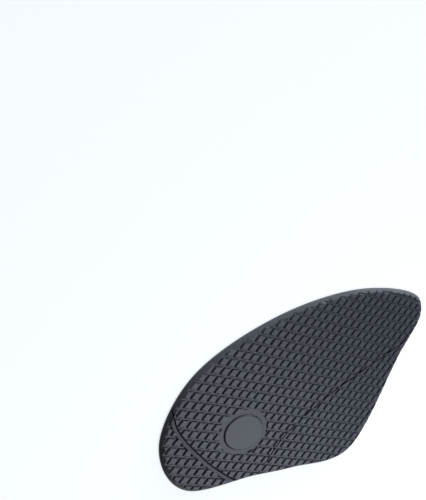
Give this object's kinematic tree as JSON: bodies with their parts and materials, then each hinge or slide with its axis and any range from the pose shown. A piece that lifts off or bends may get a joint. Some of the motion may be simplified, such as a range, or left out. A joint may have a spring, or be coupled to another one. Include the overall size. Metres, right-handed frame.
{
  "type": "motorcycle tank pad",
  "caption": "Thin moulded rubber knee pad for the side of a motorcycle fuel tank, with a slanted block tread, sloping edge, flex slits and flat back.",
  "frame": {"origin": "centre of the pad's length and width, on the plane of its flat back", "axes": "+X along the pad's longest extent, towards its pointed end; +Y across it, towards the long bowed edge; +Z out of the back, the way the tread faces"},
  "size_m": [0.211, 0.131, 0.003],
  "materials": {
    "pad_rubber": "matt moulded rubber, fine grain"
  },
  "bodies": {
    "root": {"tank_pad": "pad_rubber"}
  },
  "joints": []
}
